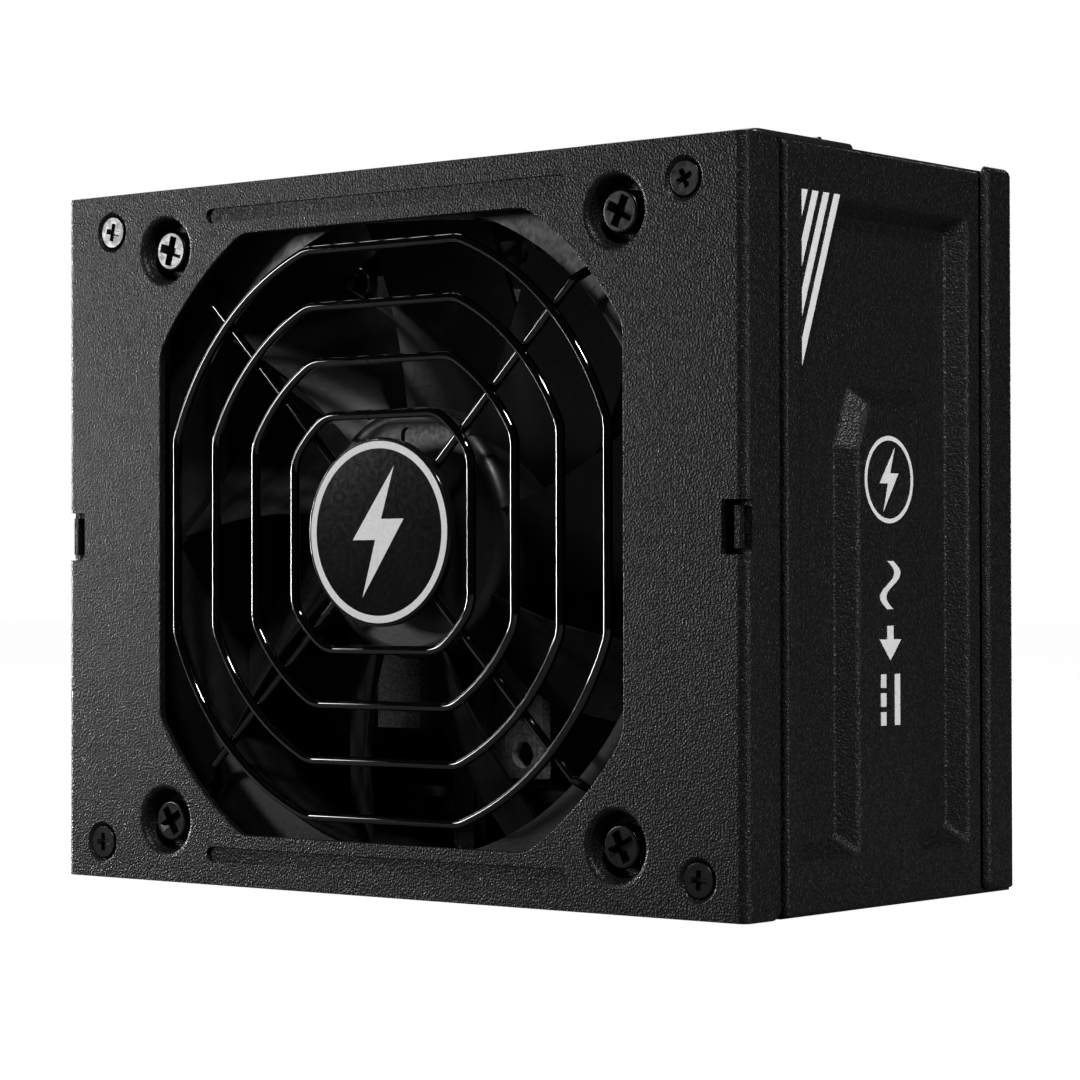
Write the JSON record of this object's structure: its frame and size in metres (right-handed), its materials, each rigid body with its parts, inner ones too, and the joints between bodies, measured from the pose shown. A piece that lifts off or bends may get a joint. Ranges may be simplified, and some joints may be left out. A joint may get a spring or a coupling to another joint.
{
  "type": "power supply unit",
  "caption": "Compact box-shaped computer power supply with a guarded fan, pressed side panels, a recessed mains inlet, a rocker switch and modular output sockets.",
  "frame": {"origin": "middle of the modular panel's outer face, which the unit stands on", "axes": "+Z towards the mains panel, -Y towards the fan face, +X towards the printed side"},
  "size_m": [0.125, 0.0636, 0.1058],
  "materials": {
    "powder_coat": "matte black fine-grain powder coat",
    "grille_paint": "black chrome plating on wire",
    "badge_plastic": "satin black",
    "dark_screws": "bright zinc plate",
    "steel_screws": "zinc plated",
    "fan_frame_plastic": "satin black glass-filled",
    "fan_blade_plastic": "satin black",
    "bright_steel": "ground",
    "magnet": "bonded ferrite",
    "bronze": "sintered bronze",
    "copper_wire": "enamelled",
    "green_board": "black solder mask",
    "inlet_plastic": "semi-gloss black",
    "rocker_plastic": "semi-gloss black",
    "nickel": "nickel plate",
    "socket_plastic": "matte black nylon",
    "clear_sheet": "black polyester film",
    "brass": "bare",
    "can_sleeve": "heat-shrunk sleeve",
    "film_box": "grey epoxy box",
    "ceramic": "epoxy-dipped ceramic",
    "ferrite": "coated ferrite",
    "tape": "polyester tape",
    "aluminium": "mill finish",
    "chip_epoxy": "moulded epoxy",
    "relay_case": "moulded",
    "fuse_ceramic": "ceramic tube",
    "lead_insulation": "PVC"
  },
  "bodies": {
    "housing": {"base_tray": "powder_coat", "board_screws": "steel_screws", "board_standoffs": "brass", "boost_inductor_core": "ferrite", "boost_inductor_winding": "copper_wire", "bridge_rectifier": "chip_epoxy", "bulk_capacitor": "can_sleeve", "choke_cores": "ferrite", "choke_windings": "copper_wire", "converter_board": "green_board", "converter_chips": "chip_epoxy", "cover_screws": "dark_screws", "eight_way_sockets": "socket_plastic", "eighteen_way_socket": "socket_plastic", "fan_badge": "badge_plastic", "fan_bearing": "bronze", "fan_circuit_board": "green_board", "fan_connector": "socket_plastic", "fan_cover": "powder_coat", "fan_frame": "fan_frame_plastic", "fan_grille": "grille_paint", "fan_lead": "lead_insulation", "fan_screws": "dark_screws", "fan_stator": "bright_steel", "fuse_clips": "nickel", "inlet_body": "inlet_plastic", "inlet_pins": "nickel", "inrush_thermistor": "chip_epoxy", "insulation_sheet": "clear_sheet", "line_capacitors": "film_box", "main_board": "green_board", "mains_fuse": "fuse_ceramic", "mains_leads": "lead_insulation", "modular_board": "green_board", "output_capacitors": "can_sleeve", "power_relay": "relay_case", "power_transistors": "chip_epoxy", "primary_heatsink": "aluminium", "resonant_inductor": "tape", "safety_capacitors": "ceramic", "secondary_heatsink": "aluminium", "side_panel_left": "powder_coat", "side_panel_right": "powder_coat", "six_way_sockets": "socket_plastic", "socket_contacts": "nickel", "standby_transformer": "tape", "stator_coils": "copper_wire", "switch_body": "inlet_plastic", "switch_terminals": "nickel", "ten_way_socket": "socket_plastic", "transformer_core": "ferrite", "transformer_winding": "tape"},
    "fan_rotor": {"fan_impeller": "fan_blade_plastic", "rotor_yoke": "bright_steel", "rotor_magnet": "magnet", "fan_shaft": "bright_steel", "shaft_clip": "bright_steel"},
    "rocker": {"switch_rocker": "rocker_plastic"}
  },
  "joints": [
    {"name": "fan_spin", "type": "hinge", "parent": "housing", "child": "fan_rotor", "pos_m": [0, -0.02, 0.05], "axis": [0, -1, 0], "continuous": true},
    {"name": "rocker_tilt", "type": "hinge", "parent": "housing", "child": "rocker", "pos_m": [0.0363, 0.0209, 0.1013], "axis": [1, 0, 0], "range_deg": [0, 22]}
  ]
}
